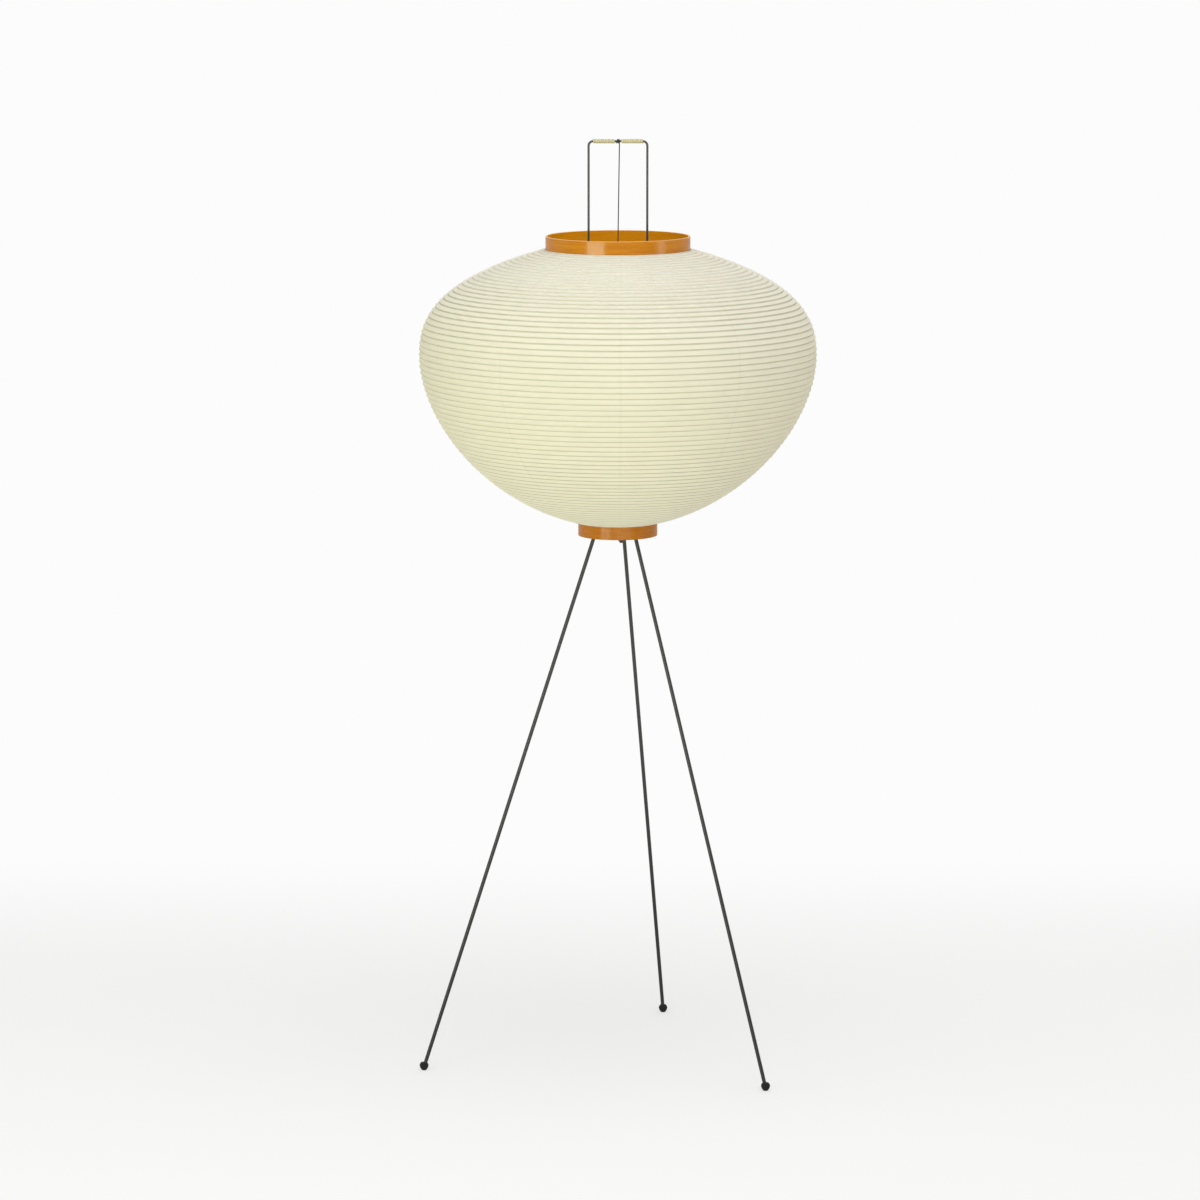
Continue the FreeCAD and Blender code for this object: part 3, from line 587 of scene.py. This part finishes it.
def drawn_line(name, points, closed=False):
    """New piece that is a line of edges through points, drawn by extruding one corner."""
    deselect()
    bpy.ops.mesh.primitive_plane_add(size=MM, location=points[0])
    piece = bpy.context.object
    piece.name = name
    bpy.ops.object.mode_set(mode="EDIT")
    bpy.ops.mesh.merge(type="CENTER")
    for start, end in zip(points, points[1:]):
        bpy.ops.mesh.extrude_vertices_move(TRANSFORM_OT_translate={"value": end - start})
    if closed:
        bpy.ops.mesh.extrude_vertices_move(TRANSFORM_OT_translate={"value": points[0] - points[-1]})
        bpy.ops.mesh.select_all(action="SELECT")
        bpy.ops.mesh.remove_doubles(threshold=0.01 * MM)
    bpy.ops.object.mode_set(mode="OBJECT")
    settle(piece)
    return piece


def settle(piece):
    """Put a piece's place, turn and scale into its mesh."""
    pick(piece)
    bpy.ops.object.transform_apply(location=True, rotation=True, scale=True)


def applied(piece, kind, **settings):
    """Give a piece a modifier and apply it."""
    pick(piece)
    modifier = piece.modifiers.new(kind.title(), kind)
    for name, value in settings.items():
        setattr(modifier, name, value)
    bpy.ops.object.modifier_apply(modifier=modifier.name)


def turned(piece, steps, axis="Z", angle=2 * math.pi, advance=0.0):
    """Sweep a drawn line round an axis."""
    applied(piece, "SCREW", axis=axis, angle=angle, steps=steps, render_steps=steps, screw_offset=advance,
            use_merge_vertices=advance == 0, merge_threshold=0.001 * MM, use_smooth_shade=True)


def face_outwards(piece):
    """Merge doubles, close open ends and point every face outwards."""
    pick(piece)
    bpy.ops.object.mode_set(mode="EDIT")
    bpy.ops.mesh.select_all(action="SELECT")
    bpy.ops.mesh.remove_doubles(threshold=0.002 * MM)
    bpy.ops.mesh.fill_holes(sides=0)
    bpy.ops.mesh.normals_make_consistent(inside=False)
    bpy.ops.object.mode_set(mode="OBJECT")


def turn_shell_outwards(piece):
    """Turn an open shell round if its faces look at the lamp's axis."""
    face = piece.data.polygons[len(piece.data.polygons) // 2]
    if face.normal.dot(Vector((face.center.x, face.center.y, 0))) < 0:
        pick(piece)
        bpy.ops.object.mode_set(mode="EDIT")
        bpy.ops.mesh.select_all(action="SELECT")
        bpy.ops.mesh.flip_normals()
        bpy.ops.object.mode_set(mode="OBJECT")


def smoothed(piece, degrees):
    """Shade a piece smooth, with creases left sharp."""
    pick(piece)
    bpy.ops.object.shade_smooth_by_angle(angle=math.radians(degrees))


def thickened(piece, thickness, roundness):
    """Make a piece's lines into round wire."""
    pick(piece)
    bpy.ops.object.convert(target="CURVE")
    piece.data.bevel_depth = thickness / 2
    piece.data.bevel_resolution = roundness
    piece.data.use_fill_caps = True
    bpy.ops.object.convert(target="MESH")
    settle(piece)


def dress(piece, material):
    """Give a piece, or a node kept from the frame, one material all over."""
    piece.data.materials.clear()
    piece.data.materials.append(material)


def finished(piece, body, slot, material, *nodes):
    """Give a piece its finish and its body, and hide the CAD nodes that it stands for; the slot is not used.
    """
    dress(piece, material)
    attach(piece, body)
    if nodes:
        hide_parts(*nodes)


def polar(radius, azimuth, height):
    """Point at a distance from the lamp's axis, an azimuth and a height."""
    return Vector((radius * math.cos(azimuth), radius * math.sin(azimuth), height))


# ---- paper ----
def shade_radius_at(sizes, height):
    """Radius of the lantern's curve at a height."""
    rise = height - sizes.equator
    reach, (height_power, radius_power) = ((sizes.upper_reach, UPPER_POWERS) if rise > 0
                                           else (sizes.lower_reach, LOWER_POWERS))
    return sizes.radius * (1 - (abs(rise) / reach) ** height_power) ** (1 / radius_power)


def shade_curve(sizes):
    """Points of the lantern's curve from ring to ring, with the length of paper up to each."""
    points = []
    length = 0.0
    for i in range(CURVE_STEPS + 1):
        share = (1 - math.cos(math.pi * i / CURVE_STEPS)) / 2
        height = sizes.base + (sizes.top - sizes.base) * share
        radius = shade_radius_at(sizes, height)
        if points:
            length += math.hypot(radius - points[-1][1], height - points[-1][2])
        points.append((length, radius, height))
    return points


def on_curve(points, length):
    """Radius, height and outward direction at a length along the curve."""
    k = 0
    last = len(points) - 2
    while k < last and points[k + 1][0] < length:
        k += 1
    (l0, r0, z0), (l1, r1, z1) = points[k], points[k + 1]
    share = (length - l0) / (l1 - l0)
    run = math.hypot(r1 - r0, z1 - z0)
    return r0 + (r1 - r0) * share, z0 + (z1 - z0) * share, (z1 - z0) / run, (r0 - r1) / run


def paper_profile(sizes):
    """Points of the paper from ring to ring, drawn in between the hoops, and the count of bays up to each."""
    curve = shade_curve(sizes)
    bays = sizes.hoops + 1
    pitch = curve[-1][0] / bays
    points = []
    counts = []
    for bay in range(bays):
        for share, depth in BAY_SHAPE:
            radius, height, out, up = on_curve(curve, (bay + share) * pitch)
            drawn = sizes.bay_depth * depth * min(1, TIGHT + (1 - TIGHT) * bay / LOOSE_FROM)
            points.append(polar(radius - out * drawn, FRONT, height - up * drawn))
            counts.append(bay + share)
    radius, height, _, _ = on_curve(curve, curve[-1][0])
    points.append(polar(radius, FRONT, height))
    counts.append(bays)
    return points, counts


def make_paper(sizes):
    """The lantern's paper skin: one ribbed sheet from ring to ring."""
    points, counts = paper_profile(sizes)
    piece = drawn_line("paper_shade", points)
    mark = piece.data.attributes.new("bay_count", "FLOAT", "POINT")
    mark.data.foreach_set("value", counts)
    turned(piece, sizes.panels * sizes.panel_steps)
    turn_shell_outwards(piece)
    applied(piece, "SOLIDIFY", thickness=sizes.paper, offset=-1, use_even_offset=True)
    smoothed(piece, 70)
    return piece


def make_hoops(sizes):
    """Bamboo hoops that the paper is glued over, one under each ridge."""
    curve = shade_curve(sizes)
    pitch = curve[-1][0] / (sizes.hoops + 1)
    inset = sizes.paper + sizes.hoop_thickness / 2
    deselect()
    rings = []
    for hoop in range(1, sizes.hoops + 1):
        radius, height, out, up = on_curve(curve, hoop * pitch)
        bpy.ops.mesh.primitive_circle_add(vertices=sizes.panels * sizes.panel_steps,
                                          radius=radius - out * inset, location=(0, 0, height - up * inset),
                                          rotation=(0, 0, math.pi / 2))
        rings.append(bpy.context.object)
    deselect()
    for ring in rings:
        ring.select_set(True)
    piece = rings[0]
    bpy.context.view_layer.objects.active = piece
    bpy.ops.object.join()
    piece.name = "bamboo_hoops"
    thickened(piece, sizes.hoop_thickness, 0)
    smoothed(piece, 180)
    return piece


class LANTERN_OT_shade(bpy.types.Operator):
    """Make the paper lantern and the bamboo hoops inside it"""
    bl_idname = "lantern.shade"
    bl_label = "Paper Shade"

    def execute(self, context):
        sizes = context.scene.lantern.shade
        paper = make_paper(sizes)
        hoops = make_hoops(sizes)
        finished(paper, "stand", "rice_paper", rice_paper(sizes), *PAPER_PANELS)
        finished(hoops, "stand", "rice_paper", bamboo_finish())
        fold = next(joint for joint in frame["joints"] if joint["name"] == "shade_fold")
        keep = 1 - fold["range_m"][1] / (sizes.top - sizes.base)
        for piece in (paper, hoops):
            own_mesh(piece)
        return {"FINISHED"}


# ---- bentwood ----
def band_section(inner, outer, bottom, top, edge):
    """Closed section of a bentwood band: eased edges, with points beside them that keep the walls flat."""
    corners = ((inner + edge, bottom + edge), (outer - edge, bottom + edge),
               (outer - edge, top - edge), (inner + edge, top - edge))
    flat = EDGE_BACKING * edge
    places = ((0, -flat), *((i, 0) for i in range(EDGE_STEPS + 1)), (EDGE_STEPS, flat))
    points = []
    for quarter, (radius, height) in enumerate(corners, 2):
        for i, along in places:
            angle = math.pi / 2 * (quarter + i / EDGE_STEPS)
            points.append(polar(radius + edge * math.cos(angle) - along * math.sin(angle), FRONT,
                                height + edge * math.sin(angle) + along * math.cos(angle)))
    return points


def make_band(name, node, wall, sizes):
    """Bentwood ring in the place of a CAD ring."""
    outer = high(node, 0)
    section = band_section(outer - wall, outer, low(node), high(node), sizes.edge)
    piece = drawn_line(name, section, closed=True)
    turned(piece, sizes.steps)
    face_outwards(piece)
    smoothed(piece, 35)
    return piece


class LANTERN_OT_rings(bpy.types.Operator):
    """Make the two lacquered bentwood rings"""
    bl_idname = "lantern.rings"
    bl_label = "Bentwood Rings"

    def execute(self, context):
        sizes = context.scene.lantern.wood
        for name, node, wall, depth, body in RINGS:
            wood = lacquered_wood(name + "_finish", sizes, (low(node) + high(node)) / 2,
                                  high(node, 0) - wall / 2, high(node), depth)
            finished(make_band(name, node, wall, sizes), body, "lacquered_wood", wood, node)
        return {"FINISHED"}


# ---- handle ----
def make_cane(name, node, sizes):
    """Split cane wound about one half of the crossbar."""
    half = sizes.strip_width / 2
    inside = sizes.bar_radius + CANE_GAP
    crown = sizes.bar_radius + sizes.strip_thickness
    rind = [(share * half, crown - drop * sizes.strip_thickness) for share, drop in CANE_CROWN]
    section = [(-half, inside), *((-x, radius) for x, radius in rind), *reversed(rind), (half, inside)]
    start = low(node, 0) + half
    points = [Vector((start + x, 0, CROSSBAR_HEIGHT + radius)) for x, radius in section]
    piece = drawn_line(name, points, closed=True)
    move_mesh(piece, (0, 0, -CROSSBAR_HEIGHT))
    turned(piece, round(sizes.turns * TURN_STEPS), "X", 2 * math.pi * sizes.turns,
           high(node, 0) - low(node, 0) - sizes.strip_width)
    move_mesh(piece, (0, 0, CROSSBAR_HEIGHT))
    face_outwards(piece)
    smoothed(piece, 45)
    return piece


def move_mesh(piece, offset):
    """Move a piece and put the move into its mesh."""
    pick(piece)
    bpy.ops.transform.translate(value=offset)
    settle(piece)


def hook_line(sizes):
    """Middle of the hook's wire: two turns about the crossbar, the stem, the bend and the foot."""
    eye = sizes.bar_radius + sizes.eye_clearance + sizes.hook_wire / 2
    first_x = high("hook_wire", 0) - sizes.hook_wire / 2
    steps = HOOK_TURNS * TURN_STEPS
    points = []
    for i in range(steps + 1):
        angle = 2 * math.pi * HOOK_TURNS * i / steps
        x = first_x - 2 * first_x * i / steps
        points.append(Vector((x, -eye * math.cos(angle), CROSSBAR_HEIGHT + eye * math.sin(angle))))
    foot_height = low("hook_wire") + sizes.hook_wire / 2
    bend_top = Vector((0, -eye, foot_height + sizes.hook_bend))
    points.reverse()
    for i in range(1, STEM_STEPS):
        points.append(points[steps].lerp(bend_top, i / STEM_STEPS))
    for i in range(BEND_STEPS + 1):
        angle = math.pi / 2 * i / BEND_STEPS
        points.append(Vector((0, -eye - sizes.hook_bend * (1 - math.cos(angle)),
                              foot_height + sizes.hook_bend * (1 - math.sin(angle)))))
    points.append(Vector((0, low("hook_wire", 1) + FOOT_TUCK, foot_height)))
    return points


def make_hook(sizes):
    """Wire hook that hangs from the crossbar and holds the top ring's cross wire."""
    piece = drawn_line("hook_wire_smooth", hook_line(sizes))
    thickened(piece, sizes.hook_wire, 3)
    face_outwards(piece)
    smoothed(piece, 50)
    return piece


class LANTERN_OT_handle(bpy.types.Operator):
    """Wind the cane on the handle and hang the wire hook"""
    bl_idname = "lantern.handle"
    bl_label = "Handle"

    def execute(self, context):
        sizes = context.scene.lantern.handle
        cane = wound_cane(sizes)
        for side in ("left", "right"):
            node = "cane_wrap_" + side
            finished(make_cane("cane_winding_" + side, node, sizes), "stand", "cane", cane, node)
        wire = bare_metal("drawn_wire", DARK_WIRE, 0.38, 0.16)
        finished(make_hook(sizes), "hook", "dark_wire", wire, "hook_wire")
        dress(frame["nodes"]["cross_wire"], wire)
        return {"FINISHED"}


# ---- feet ----
def make_foot(name, node):
    """Rubber ball foot: flat underneath, fullest above its middle, with a lip where the leg goes in."""
    foot_low, foot_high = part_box(node)
    tall = foot_high.z
    widest = (foot_high.x - foot_low.x) / 2
    centre = (foot_low + foot_high) / 2
    points = [Vector((centre.x + radius * widest, centre.y, height * tall))
              for radius, height in FOOT_PROFILE]
    piece = drawn_line(name, points)
    move_mesh(piece, (-centre.x, -centre.y, 0))
    turned(piece, FOOT_STEPS)
    move_mesh(piece, (centre.x, centre.y, 0))
    face_outwards(piece)
    smoothed(piece, 50)
    return piece


class LANTERN_OT_feet(bpy.types.Operator):
    """Make the three rubber feet"""
    bl_idname = "lantern.feet"
    bl_label = "Feet"

    def execute(self, context):
        rubber = smooth_solid("black_rubber", DARK_RUBBER, PALE_RUBBER, 0.5, 0.0, 240, 0.2, shine=0.2)
        for node in FEET:
            finished(make_foot("rubber_" + node, node), "stand", "black_rubber", rubber, node)
        return {"FINISHED"}


# ---- bulb ----
def bulb_profile(sizes):
    """Outline of the globe from its neck to its top."""
    neck_height = low("bulb_glass")
    top = high("bulb_glass")
    radius = high("bulb_glass", 0)
    middle = top - radius
    points = [polar(sizes.neck, FRONT, neck_height), polar(sizes.neck, FRONT, neck_height + NECK_LENGTH)]
    start = -math.acos(min(1, sizes.neck * NECK_FLARE / radius))
    for i in range(GLOBE_STEPS):
        angle = start + (math.pi / 2 - start) * i / GLOBE_STEPS
        points.append(polar(radius * math.cos(angle), FRONT, middle + radius * math.sin(angle)))
    points.append(Vector((0, 0, top)))
    return [Vector((0, 0, neck_height))] + points


class LANTERN_OT_bulb(bpy.types.Operator):
    """Blow the bulb's opal globe"""
    bl_idname = "lantern.bulb"
    bl_label = "Bulb"

    def execute(self, context):
        sizes = context.scene.lantern.bulb
        piece = drawn_line("bulb_globe", bulb_profile(sizes))
        turned(piece, sizes.steps)
        face_outwards(piece)
        smoothed(piece, 60)
        finished(piece, "bulb", "opal_glass", opal_glass(), "bulb_glass")
        return {"FINISHED"}


# ---- finishes of the parts kept from the frame ----
FITTINGS = (                        # finish, its measures, the nodes that wear it
    (painted_steel, (), ("leg_left", "leg_back", "leg_right", "hub", "frame_wire")),
    (bare_metal, ("zinc_steel", (0.62, 0.63, 0.64), 0.30, 0.15),
     ("frame_screws", "ring_bridge", "ring_screws", "nipple", "nipple_nut")),
    (bare_metal, ("brass", (0.78, 0.56, 0.24), 0.24, 0.14),
     ("screw_shell", "centre_contact", "bulb_contact")),
    (bare_metal, ("nickel", (0.66, 0.64, 0.60), 0.20, 0.12), ("bulb_cap",)),
    (smooth_solid, ("black_plastic", (0.012, 0.012, 0.012), (0.024, 0.024, 0.024), 0.34, 0.1, 90, 0.1),
     ("cord_gland", "holder_cap", "holder_shell")),
    (smooth_solid, ("white_ceramic", (0.76, 0.75, 0.70), (0.82, 0.81, 0.77), 0.18, 0.6, 60, 0.05),
     ("holder_insert",)),
    (smooth_solid, ("black_ceramic", (0.015, 0.015, 0.016), (0.03, 0.03, 0.03), 0.2, 0.5, 80, 0.05),
     ("bulb_insulator",)),
)


class LANTERN_OT_metalwork(bpy.types.Operator):
    """Finish the legs, the frame wire, the hub, the lamp holder and the small fittings"""
    bl_idname = "lantern.metalwork"
    bl_label = "Metalwork and Fittings"

    def execute(self, context):
        for make, measures, nodes in FITTINGS:
            material = make(*measures)
            for node in nodes:
                dress(frame["nodes"][node], material)
        return {"FINISHED"}


# ---- stage ----
SEEN = ("Is Camera Ray", "Is Glossy Ray", "Is Transmission Ray")
LIGHTS = (                          # name, place, width, height, what it faces, colour
    ("overhead", (0.2, -0.6, 3.4), 2.2, 2.2, (0, 0, 0.7), WHITE_LIGHT),
    ("key", (0.4, -3.6, 2.9), 2.4, 1.4, (0, 0, 0.8), WHITE_LIGHT),
    ("strip", (-1.75, -2.45, 0.742), 1.5, 0.15, (0, 0, 1.02), GLINT_LIGHT),
    ("low_strip", (-1.75, -2.45, 0.30), 1.5, 0.12, (0, 0, 0.72), GLINT_LIGHT),
    ("fill", (2.85, -0.93, 0.742), 0.8, 0.2, (0, 0, 1.0), WHITE_LIGHT),
    ("low_fill", (0.7, -3.0, 0.45), 3.0, 0.16, (0, 0, 0.85), WHITE_LIGHT),
)


def look_at(thing, target):
    """Turn a light so that it faces a point."""
    way = Vector(target) - thing.location
    thing.rotation_euler = way.to_track_quat("-Z", "Y").to_euler()


def soft_light(name, place, width, tall, target, colour, power):
    """Large rectangular studio light."""
    bpy.ops.object.light_add(type="AREA", location=place)
    lamp = bpy.context.object
    lamp.name = name
    lamp.data.shape = "RECTANGLE"
    lamp.data.size = width
    lamp.data.size_y = tall
    lamp.data.energy = power
    lamp.data.color = colour
    lamp.visible_camera = False
    look_at(lamp, target)


def floor_finish(sizes):
    """Pale floor that keeps the lamp's shadow and fades into the white backdrop further off."""
    finish = Finish("floor")
    place = finish.place()
    x, y, _ = finish.axes(place)
    distance = (x * x + y * y) ** 0.5
    clouds = finish.noise(place, 0.6, 2)
    tone = finish.mix(clouds, toned(sizes.floor, 0.985), sizes.floor)
    matte = finish.principled(Base_Color=tone, Roughness=0.6, Specular_IOR_Level=0.1)
    back = finish.step(y, 0.25, 1.4)
    away = finish.step(distance, 1.1, 2.0)
    fade = finish.maths("MAXIMUM", back, away)
    glow = finish.mix(fade, sizes.floor_seen, sizes.backdrop)
    bright = finish.node("ShaderNodeEmission", None, {"Color": glow})
    camera = finish.ray("Is Camera Ray")
    shown = finish.maths("MAXIMUM", camera, finish.ray(*SEEN) * finish.step(y, -1.5, -0.5))
    return finish.output(finish.blend((0.6 + fade * 0.4) * shown, matte, bright))


def make_world(sizes):
    """White backdrop, a dimmer room that only gloss shows on the camera's side, and an even soft light."""
    world = bpy.data.worlds.new("studio")
    bpy.context.scene.world = world
    finish = Finish("studio", world)
    y = finish.axes(finish.node("ShaderNodeTexCoord", output="Generated"))[1]
    behind = finish.step(y, -0.6, 0.1)
    camera = finish.ray("Is Camera Ray")
    shown = finish.mix(finish.maths("MAXIMUM", camera, behind), sizes.room, sizes.backdrop)
    seen = finish.node("ShaderNodeBackground", None, {"Color": shown})
    light = finish.node("ShaderNodeBackground", None, {"Color": ROOM_LIGHT, "Strength": sizes.ambient})
    finish.output(finish.blend(finish.ray(*SEEN), light, seen), "ShaderNodeOutputWorld")


class LANTERN_OT_stage(bpy.types.Operator):
    """Set the camera, the floor, the backdrop and the lights"""
    bl_idname = "lantern.stage"
    bl_label = "Stage"

    def execute(self, context):
        sizes = context.scene.lantern.stage
        context.scene.view_settings.view_transform = "Standard"
        deselect()
        bpy.ops.object.camera_add(location=sizes.camera, rotation=(math.pi / 2 - sizes.pitch_down, 0, 0))
        camera = bpy.context.object
        camera.data.lens = sizes.lens
        camera.data.sensor_width = SENSOR_WIDTH
        camera.data.clip_end = CAMERA_REACH
        context.scene.camera = camera
        bpy.ops.mesh.primitive_plane_add(size=FLOOR_SIZE)
        floor = bpy.context.object
        floor.name = "floor"
        floor.data.materials.append(floor_finish(sizes))
        for name, *measures in LIGHTS:
            soft_light(name, *measures, getattr(sizes, name))
        make_world(sizes)
        return {"FINISHED"}


# ---- panel ----
PIECES = (LANTERN_OT_shade, LANTERN_OT_rings, LANTERN_OT_handle, LANTERN_OT_feet, LANTERN_OT_bulb,
          LANTERN_OT_metalwork, LANTERN_OT_stage)


class LANTERN_PT_panel(bpy.types.Panel):
    """Lists the lamp's pieces and its sizes"""
    bl_idname = "LANTERN_PT_panel"
    bl_label = "Paper Lantern"
    bl_space_type = "VIEW_3D"
    bl_region_type = "UI"
    bl_category = "Lantern"

    def draw(self, context):
        for piece in PIECES:
            self.layout.operator(piece.bl_idname)
        for group in ("shade", "wood", "handle", "bulb", "stage"):
            sizes = getattr(context.scene.lantern, group)
            box = self.layout.box()
            box.label(text=group.title())
            for name in sizes.bl_rna.properties.keys():
                if name not in ("rna_type", "name"):
                    box.prop(sizes, name)


CLASSES = (LanternShade, LanternWood, LanternHandle, LanternBulb, LanternStage, LanternSizes,
           *PIECES, LANTERN_PT_panel)


def register():
    for cls in CLASSES:
        bpy.utils.register_class(cls)
    bpy.types.Scene.lantern = PointerProperty(type=LanternSizes)


def unregister():
    del bpy.types.Scene.lantern
    for cls in reversed(CLASSES):
        bpy.utils.unregister_class(cls)


def main():
    register()
    bpy.ops.lantern.stage()
    bpy.ops.lantern.shade()
    bpy.ops.lantern.rings()
    bpy.ops.lantern.handle()
    bpy.ops.lantern.feet()
    bpy.ops.lantern.bulb()
    bpy.ops.lantern.metalwork()


if __name__ == "__main__":
    main()
